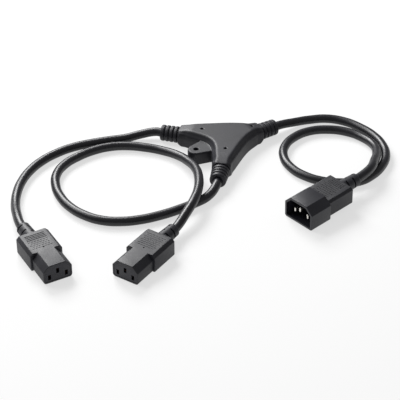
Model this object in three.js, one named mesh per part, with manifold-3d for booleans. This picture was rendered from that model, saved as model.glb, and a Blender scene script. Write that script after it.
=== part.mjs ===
// Power cord splitter: one inlet plug feeds two outlet connectors through a moulded Y junction.
// Millimetres, +Z up. The floor is z = 0, the origin is under the middle of the junction, and +X runs
// along the junction's inlet arm.

import * as THREE from 'three';
import { mergeVertices } from 'three/addons/utils/BufferGeometryUtils.js';
import Module from 'manifold-3d';

const wasm = await Module();
wasm.setup();

// Cords and their cores
const cordDiameter = 7.8;
const cordSides = 10;
const coreDiameter = 2.3;
const conductorDiameter = 1.2;
const corePitchRadius = 1.6;
const conductorReach = 4.0;

// Clearances
const seatGap = 0.3;
const endGap = 0.4;

// Junction moulding
const bodyHeight = 16.6;
const shoulderWidth = 3.0;
const shoulderDrop = 5.0;
const outputHalfAngle = THREE.MathUtils.degToRad(46.8);
const inputArm = 46.7;
const outputArm = 62.0;
const backWeb = 20.5;
const frontWeb = 17.0;
const crotchWeb = 22.6;
const armHalfWidth = 8.2;
const armLeadIn = 7.0;
const leadLength = 13.0;
const leadSlope = THREE.MathUtils.degToRad(11);
const locatorHoleRadius = 1.0;
const locatorHoleDepth = 3.0;
const inputLocatorPlace = 22.0;
const outputLocatorPlace = 25.3;

// Ribbed boots on the junction's arms
const bootDiameter = 14.0;
const bootLength = 16.4;
const bootGrooves = 4;
const bootGroovePitch = 3.9;
const bootGrooveWidth = 1.1;
const bootGrooveDepth = 1.2;
const bootRootFlare = 0.15;
const bootEndChamfer = 1.2;
const bootSides = 16;
const jacketDepthInput = 20.0;
const jacketDepthOutput = 22.0;

// Screw ear in the crotch
const earPlace = 35.0;
const earRadius = 7.3;
const earHeight = 11.8;
const earRootHalfWidth = 11.0;
const earEdge = 0.8;
const earHoleRadius = 2.15;

// Crimp splices inside the junction
const spliceSpacing = 6.8;
const spliceX = 3.0;
const spliceHalfLength = 5.0;
const spliceWall = 0.5;
const conductorStack = 1.35;

// Blades and the socket slots that take them
const bladeThickness = 2.0;
const bladeHeight = 4.0;
const bladeSpacing = 14.0;
const earthRise = 4.2;
const slotAllowance = 0.5;

// Outlet connectors
const noseWidth = 23.8;
const noseHeight = 15.8;
const noseLength = 20.3;
const noseTopCut = 5.0;
const noseBottomCut = 2.2;
const gripWidth = 27.0;
const gripLength = 26.9;
const gripTopCut = 2.5;
const gripBottomCut = 1.0;
const gripCornerCut = 1.5;
const slotCentreHeight = 5.3;
const outletDimpleRadius = 0.7;
const outletDimpleDepth = 1.2;
const outletDimplePlace = 24.8;

// Contact carrier in each outlet connector
const carrierInset = 1.4;
const carrierLength = 18.0;
const carrierFrontWall = 2.0;
const contactWall = 0.35;
const contactLength = 12.0;
const crimpDiameter = 3.0;
const crimpLength = 5.0;

// Inlet plug
const shroudWidth = 30.4;
const shroudHeight = 20.8;
const shroudLength = 21.6;
const shroudTopCut = 6.3;
const shroudBottomCut = 1.6;
const shroudWall = 1.9;
const cavityDepth = 18.0;
const bladeRecess = 3.2;
const earthLead = 1.6;
const plugCoreWidth = 20.0;
const plugCoreHeight = 10.4;
const plugCoreLength = 6.0;
const plugBodyWidth = 27.4;
const plugBodyBottom = 2.3;
const plugBodyTop = 17.6;
const plugBodyLength = 27.2;
const plugBodyTopCut = 2.0;
const plugTilt = THREE.MathUtils.degToRad(2.2);

// Strain reliefs on the plug and connectors
const reliefRootDiameter = 12.6;
const reliefEndDiameter = 11.2;
const reliefLength = 18.4;
const reliefCollar = 3.0;
const reliefSlotStart = 4.3;
const reliefSlotWidth = 1.4;
const reliefSlotPitch = 7.4;
const reliefSlotsPerSide = 2;
const reliefBridge = 1.2;
const reliefSides = 16;
const jacketDepthConnector = 6.0;

// Places of the two connectors and the plug: the middle of the front face on the floor, and the
// heading that the face looks along
const leftOutlet = { x: -211.7, y: -84.8, heading: THREE.MathUtils.degToRad(-92.6) };
const frontOutlet = { x: -168.9, y: -112.0, heading: THREE.MathUtils.degToRad(-155.6) };
const inletPlug = { x: -14.8, y: -121.6, heading: THREE.MathUtils.degToRad(-170.6) };

// Cord routes, as centreline points from the junction to the connector
const leftRoute = [
  [-27.4, 29.2, 7.0], [-42.4, 45.2, 7.0], [-46.0, 49.0, 6.9], [-57.5, 54.2, 5.5], [-71.1, 57.6, 4.2],
  [-86.3, 62.7, 4.0], [-101.6, 66.9, 4.0], [-117.5, 69.5, 4.0], [-134.1, 68.5, 4.0], [-149.9, 64.3, 4.0],
  [-164.7, 56.6, 4.0], [-177.9, 45.7, 4.0], [-188.8, 32.6, 4.0], [-197.6, 17.5, 4.4], [-204.5, -0.2, 6.9],
  [-208.6, -15.7, 7.9], [-208.8, -20.0, 7.9], [-209.8, -43.6, 7.9],
];
const frontRoute = [
  [-27.4, -29.2, 7.0], [-42.4, -45.2, 7.0], [-46.0, -49.0, 6.9], [-57.7, -55.8, 4.7], [-73.4, -58.3, 4.0],
  [-90.0, -58.9, 4.0], [-106.4, -57.7, 4.0], [-122.0, -54.5, 4.0], [-136.4, -48.4, 4.0], [-148.5, -39.0, 4.0],
  [-157.1, -25.0, 4.0], [-161.4, -8.7, 4.0], [-161.3, 8.1, 4.0], [-157.3, 24.2, 4.0], [-148.7, 39.3, 4.0],
  [-135.3, 49.4, 4.0], [-120.0, 54.0, 4.0], [-104.8, 55.4, 4.0], [-90.4, 53.2, 4.0], [-76.9, 46.6, 4.0],
  [-64.7, 35.9, 4.0], [-54.8, 23.5, 4.1], [-48.4, 8.4, 5.3], [-47.5, -8.1, 7.7], [-50.5, -24.1, 10.6],
  [-57.3, -39.6, 12.5], [-67.0, -53.9, 13.1], [-78.5, -65.5, 13.0], [-92.1, -75.2, 10.9], [-105.9, -83.4, 7.9],
  [-109.8, -85.2, 7.9], [-131.4, -95.0, 7.9],
];
const rightRoute = [
  [26.7, 0.0, 7.0], [46.7, 0.0, 7.0], [52.9, 0.0, 6.9], [66.9, -0.7, 5.3], [82.0, -2.8, 4.0],
  [96.5, -9.6, 4.0], [107.1, -21.9, 4.0], [112.6, -37.6, 4.0], [114.3, -54.7, 4.0], [111.1, -71.6, 4.0],
  [103.0, -85.9, 4.0], [90.2, -96.5, 4.0], [74.9, -103.1, 4.0], [59.9, -104.6, 4.0], [46.1, -98.6, 4.0],
  [34.4, -88.4, 4.0], [26.4, -74.3, 4.0], [23.8, -57.9, 4.0], [28.1, -40.6, 4.0], [39.2, -26.9, 4.0],
  [54.4, -19.5, 4.0], [70.6, -18.5, 4.0], [85.8, -24.7, 4.0], [98.1, -36.8, 4.0], [104.2, -52.4, 4.1],
  [103.3, -69.0, 5.3], [94.9, -83.2, 7.7], [83.1, -94.7, 11.0], [71.0, -104.7, 13.2], [54.9, -110.1, 12.7],
  [50.7, -110.8, 12.5], [27.3, -114.6, 11.6],
];

// Colours
const black = material(0x2b2b2e, 0.55);
const jacket = material(0x202024, 0.35);
const carrierBlack = material(0x333336, 0.6);
const brown = material(0x6b3a1e, 0.5);
const blue = material(0x2458a8, 0.5);
const greenYellow = material(0x6f9e2c, 0.5);
const nickel = material(0xc9c6bd, 0.3, 1.0);
const brass = material(0xc8a04a, 0.35, 1.0);
const coreColours = { line: brown, neutral: blue, earth: greenYellow };

const conductors = ['line', 'earth', 'neutral'];

function material(color, roughness, metalness = 0) {
  return new THREE.MeshStandardMaterial({ color, roughness, metalness });
}

// A closed three.js geometry as a solid
function solid(geometry) {
  const bare = geometry.index ? geometry.toNonIndexed() : geometry.clone();
  bare.deleteAttribute('normal');
  bare.deleteAttribute('uv');
  const merged = mergeVertices(bare, 1e-4);
  const vertProperties = new Float32Array(merged.attributes.position.array);
  const triVerts = new Uint32Array(merged.index.array);
  const mesh = new wasm.Mesh({ numProp: 3, vertProperties, triVerts });
  return new wasm.Manifold(mesh);
}

function geometryOf(manifold) {
  const mesh = manifold.getMesh();
  const geometry = new THREE.BufferGeometry();
  geometry.setAttribute('position', new THREE.BufferAttribute(new Float32Array(mesh.vertProperties), 3));
  geometry.setIndex(new THREE.BufferAttribute(new Uint32Array(mesh.triVerts), 1));
  geometry.computeVertexNormals();
  return geometry;
}

function node(name, manifold, look) {
  const mesh = new THREE.Mesh(geometryOf(manifold), look);
  mesh.name = name;
  return mesh;
}

function joined(...solids) {
  return solids.reduce((whole, piece) => whole.add(piece));
}

function cut(whole, pieces) {
  return pieces.reduce((rest, piece) => rest.subtract(piece), whole);
}

// A shape drawn in the YZ plane, carried along X from one station to another
function alongX(shape, fromX, toX) {
  const depth = Math.abs(toX - fromX);
  const geometry = new THREE.ExtrudeGeometry(shape, { depth, bevelEnabled: false, curveSegments: 6 });
  const turn = new THREE.Matrix4().makeBasis(
    new THREE.Vector3(0, 1, 0),
    new THREE.Vector3(0, 0, 1),
    new THREE.Vector3(1, 0, 0),
  );
  geometry.applyMatrix4(turn);
  geometry.translate(Math.min(fromX, toX), 0, 0);
  return solid(geometry);
}

// A box section with its own cuts on the top and bottom corners, centred on y = 0
function cutBox(width, bottom, top, topCut, bottomCut, topDrop = topCut) {
  const half = width / 2;
  const shape = new THREE.Shape();
  shape.moveTo(-half + bottomCut, bottom);
  shape.lineTo(half - bottomCut, bottom);
  shape.lineTo(half, bottom + bottomCut);
  shape.lineTo(half, top - topDrop);
  shape.lineTo(half - topCut, top);
  shape.lineTo(-half + topCut, top);
  shape.lineTo(-half, top - topDrop);
  shape.lineTo(-half, bottom + bottomCut);
  shape.closePath();
  return shape;
}

function block(x, y, z, lengthX, lengthY, lengthZ) {
  const geometry = new THREE.BoxGeometry(lengthX, lengthY, lengthZ);
  geometry.translate(x, y, z);
  return solid(geometry);
}

// A turned solid about the X axis, from [station, radius] pairs
function turnedX(profile, sides) {
  const points = profile.map(([station, radius]) => new THREE.Vector2(radius, station));
  const geometry = new THREE.LatheGeometry(points, sides);
  const turn = new THREE.Matrix4().makeBasis(
    new THREE.Vector3(0, 0, 1),
    new THREE.Vector3(1, 0, 0),
    new THREE.Vector3(0, 1, 0),
  );
  geometry.applyMatrix4(turn);
  return solid(geometry);
}

function rodX(radius, fromX, toX, sides) {
  return turnedX([[fromX, 0], [fromX, radius], [toX, radius], [toX, 0]], sides);
}

// The radius of a polygon of so many sides that clears a round of the given radius
function clearing(radius, sides) {
  return radius / Math.cos(Math.PI / sides);
}

class PointByPoint extends THREE.CatmullRomCurve3 {
  getPointAt(u, target) {
    return this.getPoint(u, target);
  }

  getTangentAt(u, target) {
    return this.getTangent(u, target);
  }
}

function ring(radius, sides) {
  const shape = new THREE.Shape();
  for (let i = 0; i < sides; i += 1) {
    const angle = (i * 2 * Math.PI) / sides;
    const x = radius * Math.cos(angle);
    const y = radius * Math.sin(angle);
    if (i === 0) shape.moveTo(x, y);
    else shape.lineTo(x, y);
  }
  shape.closePath();
  return shape;
}

function sweep(curve, radius, sides, steps) {
  const settings = { steps, bevelEnabled: false, extrudePath: curve };
  return solid(new THREE.ExtrudeGeometry(ring(radius, sides), settings));
}

function cord(name, route) {
  const curve = new PointByPoint(route.map((p) => new THREE.Vector3(...p)), false, 'centripetal');
  return node(name, sweep(curve, cordDiameter / 2, cordSides, route.length - 1), jacket);
}

// One insulated core from a cord's end to a crimp: a curve, then a straight bare conductor.
// Returns the core and the room it takes in the moulding.
const coreSides = 6;
const coreSteps = 5;
function core(start, startAim, end, endAim, startPull, endPull, bareLength) {
  const near = start.clone().addScaledVector(startAim, startPull);
  const far = end.clone().addScaledVector(endAim, -endPull);
  const curve = new THREE.CubicBezierCurve3(start, near, far, end);
  const tip = end.clone().addScaledVector(endAim, bareLength);
  const root = end.clone().addScaledVector(endAim, -0.2 * bareLength);
  const bare = new THREE.LineCurve3(root, tip);
  const before = start.clone().addScaledVector(startAim, -endGap - seatGap);
  const beyond = end.clone().addScaledVector(endAim, seatGap);
  const room = clearing(coreDiameter / 2 + seatGap, coreSides);
  return {
    piece: joined(
      sweep(curve, coreDiameter / 2, coreSides, coreSteps),
      sweep(bare, conductorDiameter / 2, coreSides, 1),
    ),
    channel: joined(
      sweep(curve, room, coreSides, coreSteps),
      sweep(new THREE.LineCurve3(before, start.clone().addScaledVector(startAim, 0.05)), room, coreSides, 1),
      sweep(new THREE.LineCurve3(end.clone().addScaledVector(endAim, -0.05), beyond), room, coreSides, 1),
    ),
  };
}

// The three cores' places in a cord: side by side from left to right, with the middle one low or high
function coreOffsets(middleHigh) {
  const lift = middleHigh ? 1 : -1;
  const side = corePitchRadius * Math.cos(Math.PI / 6);
  const rise = -lift * corePitchRadius * Math.sin(Math.PI / 6);
  return [[side, rise], [0, lift * corePitchRadius], [-side, rise]];
}

// Junction
const bootAxisHeight = bootDiameter / 2;
const midHeight = bodyHeight / 2;
const arms = {
  input: { angle: 0, length: inputArm, jacketDepth: jacketDepthInput, locator: inputLocatorPlace },
  left: {
    angle: Math.PI - outputHalfAngle,
    length: outputArm,
    jacketDepth: jacketDepthOutput,
    locator: outputLocatorPlace,
  },
  front: {
    angle: Math.PI + outputHalfAngle,
    length: outputArm,
    jacketDepth: jacketDepthOutput,
    locator: outputLocatorPlace,
  },
};

function armPoint(arm, along, across) {
  const c = Math.cos(arm.angle);
  const s = Math.sin(arm.angle);
  return new THREE.Vector2(along * c - across * s, along * s + across * c);
}

// The edge between two neighbouring arms, from the first arm's left side to the second arm's right side
function webEdge(first, second, web, bisector) {
  const flare = 0.06 * armLeadIn;
  const firstEnd = first.length - bootLength;
  const secondEnd = second.length - bootLength;
  const curve = new THREE.SplineCurve([
    armPoint(first, firstEnd - armLeadIn, armHalfWidth + flare),
    new THREE.Vector2(web * Math.cos(bisector), web * Math.sin(bisector)),
    armPoint(second, secondEnd - armLeadIn, -armHalfWidth - flare),
  ]);
  return [
    armPoint(first, firstEnd, armHalfWidth),
    ...curve.getPoints(12),
    armPoint(second, secondEnd, -armHalfWidth),
  ];
}

function junctionBody() {
  const sideBisector = (Math.PI - outputHalfAngle) / 2;
  const outline = [
    ...webEdge(arms.input, arms.left, backWeb, sideBisector),
    ...webEdge(arms.left, arms.front, crotchWeb, Math.PI),
    ...webEdge(arms.front, arms.input, frontWeb, -sideBisector),
  ];
  const geometry = new THREE.ExtrudeGeometry(new THREE.Shape(outline), {
    depth: bodyHeight - 2 * shoulderDrop,
    bevelThickness: shoulderDrop,
    bevelSize: shoulderWidth,
    bevelOffset: -shoulderWidth,
    bevelSegments: 2,
  });
  geometry.translate(0, 0, shoulderDrop);
  return cut(solid(geometry), Object.values(arms).map(aboveLead));
}

// What is cut away above the slope from the flat top down to a boot
function aboveLead(arm) {
  const reach = 2 * bootLength;
  const geometry = new THREE.BoxGeometry(reach, 4 * bootDiameter, bodyHeight);
  geometry.translate(reach / 2, 0, bodyHeight / 2);
  geometry.rotateY(leadSlope);
  geometry.translate(arm.length - bootLength - leadLength, 0, bodyHeight);
  geometry.rotateZ(arm.angle);
  return solid(geometry);
}

function grooveProfile() {
  const radius = bootDiameter / 2;
  const floor = radius - bootGrooveDepth;
  const profile = [[-armLeadIn, 0], [-armLeadIn, radius], [0, radius]];
  for (let i = 0; i < bootGrooves; i += 1) {
    const from = i * bootGroovePitch;
    profile.push([from, floor], [from + bootGrooveWidth, floor], [from + bootGrooveWidth, radius]);
    if (i < bootGrooves - 1) profile.push([from + bootGroovePitch, radius]);
  }
  profile.push([bootLength - bootEndChamfer, radius], [bootLength, radius - bootEndChamfer], [bootLength, 0]);
  return profile;
}

// A ribbed boot along X, round at its mouth and wider towards the body
function boot() {
  const points = grooveProfile().map(([station, radius]) => new THREE.Vector2(radius, station));
  const geometry = new THREE.LatheGeometry(points, bootSides);
  const position = geometry.attributes.position;
  for (let i = 0; i < position.count; i += 1) {
    const across = position.getX(i);
    const station = position.getY(i);
    const up = position.getZ(i);
    const widen = 1 + bootRootFlare * (1 - Math.max(station, 0) / bootLength);
    position.setXYZ(i, station, -across * widen, up);
  }
  return solid(geometry);
}

function onArm(piece, arm, along, height) {
  const place = new THREE.Matrix4().makeRotationZ(arm.angle);
  place.setPosition(along * Math.cos(arm.angle), along * Math.sin(arm.angle), height);
  return piece.transform(place.elements);
}

function screwEar() {
  const wall = { x: earPlace - crotchWeb + shoulderWidth, y: earRootHalfWidth };
  const reach = Math.hypot(wall.x, wall.y);
  const tangent = Math.atan2(wall.y, wall.x) + Math.acos(earRadius / reach);
  const shape = new THREE.Shape();
  shape.moveTo(-earPlace + wall.x, wall.y);
  shape.absarc(-earPlace, 0, earRadius, tangent, 2 * Math.PI - tangent, false);
  shape.lineTo(-earPlace + wall.x, -wall.y);
  shape.closePath();
  const geometry = new THREE.ExtrudeGeometry(shape, {
    depth: earHeight - earEdge,
    bevelThickness: earEdge,
    bevelSize: earEdge,
    bevelOffset: -earEdge,
    bevelSegments: 1,
    curveSegments: 9,
  });
  const ear = solid(geometry);
  const below = block(-earPlace, 0, -earEdge / 2, 4 * crotchWeb, 4 * crotchWeb, earEdge);
  return ear.subtract(below);
}

function uprightRod(x, y, bottom, top, radius, sides) {
  const geometry = new THREE.CylinderGeometry(radius, radius, top - bottom, sides);
  geometry.rotateX(Math.PI / 2);
  geometry.translate(x, y, (bottom + top) / 2);
  return solid(geometry);
}

const spliceStations = { line: spliceSpacing, earth: 0, neutral: -spliceSpacing };
const inputBore = conductorDiameter / 2 + seatGap;
const outputBore = conductorStack + conductorDiameter / 2 + seatGap;

// A stepped crimp sleeve: a wide end for two conductors and a narrow end for one
function splice(y) {
  const narrow = inputBore + spliceWall;
  const wide = outputBore + spliceWall;
  const half = spliceHalfLength;
  const profile = [
    [-half, outputBore], [-half, wide], [0.5, wide], [1.5, narrow], [half, narrow],
    [half, inputBore], [1.0, inputBore], [0.0, outputBore], [-half, outputBore],
  ];
  const place = [spliceX, y, midHeight];
  return {
    piece: turnedX(profile, 16).translate(place),
    channel: rodX(clearing(wide + seatGap, 16), -half - 3 * seatGap, half + 3 * seatGap, 16).translate(place),
  };
}

function junctionCores() {
  const cores = [];
  for (const [armName, arm] of Object.entries(arms)) {
    const inlet = armName === 'input';
    const lower = armName === 'front';
    const inward = new THREE.Vector3(-Math.cos(arm.angle), -Math.sin(arm.angle), 0);
    const leftward = new THREE.Vector3(Math.sin(arm.angle), -Math.cos(arm.angle), 0);
    const offsets = coreOffsets(lower);
    const order = inlet ? [...conductors].reverse() : conductors;
    order.forEach((conductor, i) => {
      const [side, rise] = offsets[i];
      const along = arm.length - arm.jacketDepth - endGap;
      const start = new THREE.Vector3(along * Math.cos(arm.angle), along * Math.sin(arm.angle), 0);
      start.addScaledVector(leftward, side);
      start.z = bootAxisHeight + rise;
      const stack = lower ? -conductorStack : conductorStack;
      const outward = inlet ? 1 : -1;
      const end = new THREE.Vector3(
        spliceX + outward * (spliceHalfLength + 1.2),
        spliceStations[conductor],
        midHeight + (inlet ? 0 : stack),
      );
      const endAim = new THREE.Vector3(-outward, 0, 0);
      const startPull = inlet ? 5 : 12;
      const endPull = inlet ? 5 : 9;
      const made = core(start, inward, end, endAim, startPull, endPull, conductorReach);
      cores.push({ name: `${armName}_core_${conductor}`, look: coreColours[conductor], ...made });
    });
  }
  return cores;
}

function junction() {
  const cores = junctionCores();
  const splices = conductors.map((name) => ({ name: `splice_${name}`, ...splice(spliceStations[name]) }));
  const solids = [junctionBody(), screwEar()];
  const hollows = [uprightRod(-earPlace, 0, -1, earHeight + 1, earHoleRadius, 16)];
  const boreRadius = clearing(cordDiameter / 2 + seatGap, 16);
  for (const arm of Object.values(arms)) {
    solids.push(onArm(boot(), arm, arm.length - bootLength, bootAxisHeight));
    const bore = rodX(boreRadius, -arm.jacketDepth - seatGap, 1, 16);
    hollows.push(onArm(bore, arm, arm.length, bootAxisHeight));
    const hole = armPoint(arm, arm.locator, 0);
    const holeTop = bodyHeight + 1;
    const holeFloor = bodyHeight - locatorHoleDepth;
    hollows.push(uprightRod(hole.x, hole.y, holeFloor, holeTop, locatorHoleRadius, 12));
  }
  hollows.push(...cores.map((c) => c.channel), ...splices.map((s) => s.channel));
  const overmould = cut(joined(...solids), hollows);
  const group = new THREE.Group();
  group.add(node('junction_overmould', overmould, black));
  splices.forEach((s) => group.add(node(s.name, s.piece, brass)));
  cores.forEach((c) => group.add(node(c.name, c.piece, c.look)));
  const box = overmould.boundingBox();
  group.position.x = -(box.min[0] + box.max[0]) / 2;
  return group;
}

// Strain relief: a tapered sleeve behind a moulding, slotted from each side in turn
function reliefSleeve(rearX, height) {
  const root = reliefRootDiameter / 2;
  const end = reliefEndDiameter / 2;
  const collarX = rearX - reliefLength + reliefCollar;
  const profile = [
    [rearX - reliefLength, 0], [rearX - reliefLength, end - 0.6], [rearX - reliefLength + 0.6, end],
    [collarX, end], [rearX, root], [rearX + 2, root], [rearX + 2, 0],
  ];
  return turnedX(profile, reliefSides).translate([0, 0, height]);
}

function reliefSlots(rearX, height) {
  const slots = [];
  const tall = reliefRootDiameter + 2;
  for (const side of [1, -1]) {
    for (let i = 0; i < reliefSlotsPerSide; i += 1) {
      const stagger = side > 0 ? 0 : reliefSlotPitch / 2;
      const x = rearX - reliefSlotStart - stagger - i * reliefSlotPitch;
      slots.push(block(x, side * (reliefBridge + tall / 2), height, reliefSlotWidth, tall, tall));
    }
  }
  return slots;
}

function cordBore(rearX, height) {
  const radius = clearing(cordDiameter / 2 + seatGap, 16);
  const bore = rodX(radius, rearX - reliefLength - 1, rearX + jacketDepthConnector + seatGap, 16);
  return bore.translate([0, 0, height]);
}

const terminals = {
  line: { y: -bladeSpacing / 2, rise: 0 },
  earth: { y: 0, rise: earthRise },
  neutral: { y: bladeSpacing / 2, rise: 0 },
};

// The cores of a connector, from the cord's end forward to the three crimps
function connectorCores(prefix, cordEndX, crimpX, cordHeight, bladeLineHeight) {
  const offsets = coreOffsets(true);
  const forward = new THREE.Vector3(1, 0, 0);
  return ['neutral', 'earth', 'line'].map((conductor, i) => {
    const [side, rise] = offsets[i];
    const terminal = terminals[conductor];
    const start = new THREE.Vector3(cordEndX + endGap, side, cordHeight + rise);
    const end = new THREE.Vector3(crimpX - 1.0, terminal.y, bladeLineHeight + terminal.rise);
    const made = core(start, forward, end, forward, 6, 6, conductorReach);
    return { name: `${prefix}_core_${conductor}`, look: coreColours[conductor], ...made };
  });
}

function crimpBarrel(fromX, toX, y, z) {
  const outer = crimpDiameter / 2;
  const inner = conductorDiameter / 2 + seatGap;
  return rodX(outer, fromX, toX, 12).subtract(rodX(inner, fromX - 1, toX - 1, 12)).translate([0, y, z]);
}

// Outlet connector: overmoulded nose, grip and strain relief round a contact carrier
function outlet(prefix, place) {
  const rearX = -noseLength - gripLength;
  const cordHeight = noseHeight / 2;
  const gripFront = -noseLength;
  const contactHeight = bladeHeight + slotAllowance + 2 * contactWall;
  const contactWidth = bladeThickness + slotAllowance + 2 * contactWall;
  const contactFront = -carrierFrontWall - seatGap;
  const contactRear = contactFront - contactLength;
  const crimpRear = contactRear - crimpLength;

  const nose = alongX(cutBox(noseWidth, 0, noseHeight, noseTopCut, noseBottomCut), gripFront - 1, 0);
  const grip = gripBlock(gripFront, rearX);
  const carrierShape = (grow) => cutBox(
    noseWidth - 2 * carrierInset + 2 * grow,
    carrierInset - grow,
    noseHeight - carrierInset + grow,
    noseTopCut - 0.4 * carrierInset,
    noseBottomCut / 2,
  );
  const carrierBody = alongX(carrierShape(0), -carrierLength, 0);
  const pocket = alongX(carrierShape(seatGap), -carrierLength - seatGap, 1);

  const carrierHollows = [];
  const contacts = [];
  const crimpRooms = [];
  for (const [conductor, { y, rise }] of Object.entries(terminals)) {
    const z = slotCentreHeight + rise;
    const slotWide = bladeThickness + slotAllowance;
    const slotTall = bladeHeight + slotAllowance;
    const deep = carrierLength + 2;
    carrierHollows.push(block(-deep / 2 + 1, y, z, deep, slotWide, slotTall));
    const chamberFront = -carrierFrontWall;
    const chamberLength = carrierLength - carrierFrontWall + 1;
    const chamberX = chamberFront - chamberLength / 2;
    carrierHollows.push(block(
      chamberX, y, z, chamberLength, contactWidth + 2 * seatGap, contactHeight + 2 * seatGap,
    ));
    const sleeve = block(contactFront - contactLength / 2, y, z, contactLength, contactWidth, contactHeight);
    const mouth = block(
      contactFront - contactLength / 2 + contactWall, y, z, contactLength, slotWide, slotTall,
    );
    const barrel = crimpBarrel(crimpRear, contactRear + 0.2, y, z);
    contacts.push({ name: `${prefix}_contact_${conductor}`, piece: joined(sleeve.subtract(mouth), barrel) });
    const room = clearing(crimpDiameter / 2 + seatGap, 12);
    crimpRooms.push(rodX(room, crimpRear - 3 * seatGap, -carrierLength + 1, 12).translate([0, y, z]));
  }
  const carrier = cut(carrierBody, carrierHollows);

  const cores = connectorCores(
    prefix, rearX + jacketDepthConnector, crimpRear, cordHeight, slotCentreHeight,
  );
  const dimple = uprightRod(
    -outletDimplePlace, 0, noseHeight - outletDimpleDepth, noseHeight + 1, outletDimpleRadius, 10,
  );
  const overmould = cut(joined(nose, grip, reliefSleeve(rearX, cordHeight)), [
    pocket,
    ...crimpRooms,
    ...cores.map((c) => c.channel),
    cordBore(rearX, cordHeight),
    ...reliefSlots(rearX, cordHeight),
    dimple,
  ]);

  const group = new THREE.Group();
  group.add(node(`${prefix}_overmould`, overmould, black));
  group.add(node(`${prefix}_carrier`, carrier, carrierBlack));
  contacts.forEach((c) => group.add(node(c.name, c.piece, brass)));
  cores.forEach((c) => group.add(node(c.name, c.piece, c.look)));
  group.position.set(place.x, place.y, 0);
  group.rotation.z = place.heading;
  return group;
}

// The grip of an outlet connector, with cut rear corners
function gripBlock(frontX, rearX) {
  const section = alongX(cutBox(gripWidth, 0, noseHeight, gripTopCut, gripBottomCut), rearX, frontX);
  const half = gripWidth / 2;
  const plan = new THREE.Shape();
  plan.moveTo(rearX, -half + gripCornerCut);
  plan.lineTo(rearX + gripCornerCut, -half);
  plan.lineTo(frontX, -half);
  plan.lineTo(frontX, half);
  plan.lineTo(rearX + gripCornerCut, half);
  plan.lineTo(rearX, half - gripCornerCut);
  plan.closePath();
  const upright = new THREE.ExtrudeGeometry(plan, { depth: noseHeight, bevelEnabled: false });
  return section.intersect(solid(upright));
}

// Inlet plug: a hard shroud that carries the blades, with an overmoulded body behind it
function plug(prefix, place) {
  const backX = -shroudLength;
  const bodyFront = backX - seatGap;
  const rearX = bodyFront - plugBodyLength;
  const cordHeight = (plugBodyBottom + plugBodyTop) / 2;
  const bladeLine = (shroudHeight - earthRise) / 2;
  const coreMiddle = bladeLine + earthRise / 2;
  const coreRear = backX - plugCoreLength;
  const crimpFront = coreRear + 1;
  const crimpRear = coreRear - crimpLength;

  const section = (inset) => cutBox(
    shroudWidth - 2 * inset,
    inset,
    shroudHeight - inset,
    shroudTopCut - 0.6 * inset,
    Math.max(shroudBottomCut - 0.4 * inset, 0.2),
  );
  const coreBlock = (grow) => block(
    backX - plugCoreLength / 2 + (1 - grow) / 2,
    0,
    coreMiddle,
    plugCoreLength + 1 + grow,
    plugCoreWidth + 2 * grow,
    plugCoreHeight + 2 * grow,
  );
  const bladeHoles = [];
  const blades = [];
  const crimpRooms = [];
  for (const [conductor, { y, rise }] of Object.entries(terminals)) {
    const z = bladeLine + rise;
    const tipX = -bladeRecess + (conductor === 'earth' ? earthLead : 0);
    const length = tipX - crimpFront;
    const middle = (tipX + crimpFront) / 2;
    blades.push({
      name: `${prefix}_blade_${conductor}`,
      piece: joined(blade(middle, y, z, length), crimpBarrel(crimpRear, crimpFront + 0.2, y, z)),
    });
    const holeFront = -cavityDepth + 1;
    const holeRear = crimpFront - seatGap;
    bladeHoles.push(block(
      (holeFront + holeRear) / 2,
      y,
      z,
      holeFront - holeRear,
      bladeThickness + 2 * seatGap,
      bladeHeight + 2 * seatGap,
    ));
    const room = clearing(crimpDiameter / 2 + seatGap, 12);
    bladeHoles.push(rodX(room, coreRear - 1, crimpFront + 2 * seatGap, 12).translate([0, y, z]));
    crimpRooms.push(rodX(room, crimpRear - 3 * seatGap, coreRear + 1, 12).translate([0, y, z]));
  }
  const shroud = cut(joined(alongX(section(0), backX, 0), coreBlock(0)), [
    alongX(section(shroudWall), -cavityDepth, 1),
    ...bladeHoles,
  ]);

  const cores = connectorCores(prefix, rearX + jacketDepthConnector, crimpRear, cordHeight, bladeLine);
  const body = alongX(
    cutBox(plugBodyWidth, plugBodyBottom, plugBodyTop, plugBodyTopCut, gripBottomCut), rearX, bodyFront,
  );
  const overmould = cut(joined(body, reliefSleeve(rearX, cordHeight)), [
    coreBlock(seatGap),
    ...crimpRooms,
    ...cores.map((c) => c.channel),
    cordBore(rearX, cordHeight),
    ...reliefSlots(rearX, cordHeight),
  ]);

  const tilted = new THREE.Group();
  tilted.add(node(`${prefix}_shroud`, shroud, black));
  tilted.add(node(`${prefix}_overmould`, overmould, black));
  blades.forEach((b) => tilted.add(node(b.name, b.piece, nickel)));
  cores.forEach((c) => tilted.add(node(c.name, c.piece, c.look)));
  tilted.rotation.y = plugTilt;
  const group = new THREE.Group();
  group.add(tilted);
  group.position.set(place.x, place.y, 0);
  group.rotation.z = place.heading;
  return group;
}

// A flat blade along X with its tip's corners cut
function blade(x, y, z, length) {
  const half = bladeHeight / 2;
  const tip = length / 2;
  const corner = 0.8;
  const side = new THREE.Shape();
  side.moveTo(-tip, -half);
  side.lineTo(tip - corner, -half);
  side.lineTo(tip, -half + corner);
  side.lineTo(tip, half - corner);
  side.lineTo(tip - corner, half);
  side.lineTo(-tip, half);
  side.closePath();
  const geometry = new THREE.ExtrudeGeometry(side, { depth: bladeThickness, bevelEnabled: false });
  geometry.translate(0, 0, -bladeThickness / 2);
  geometry.rotateX(Math.PI / 2);
  geometry.translate(x, y, z);
  return solid(geometry);
}

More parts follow.
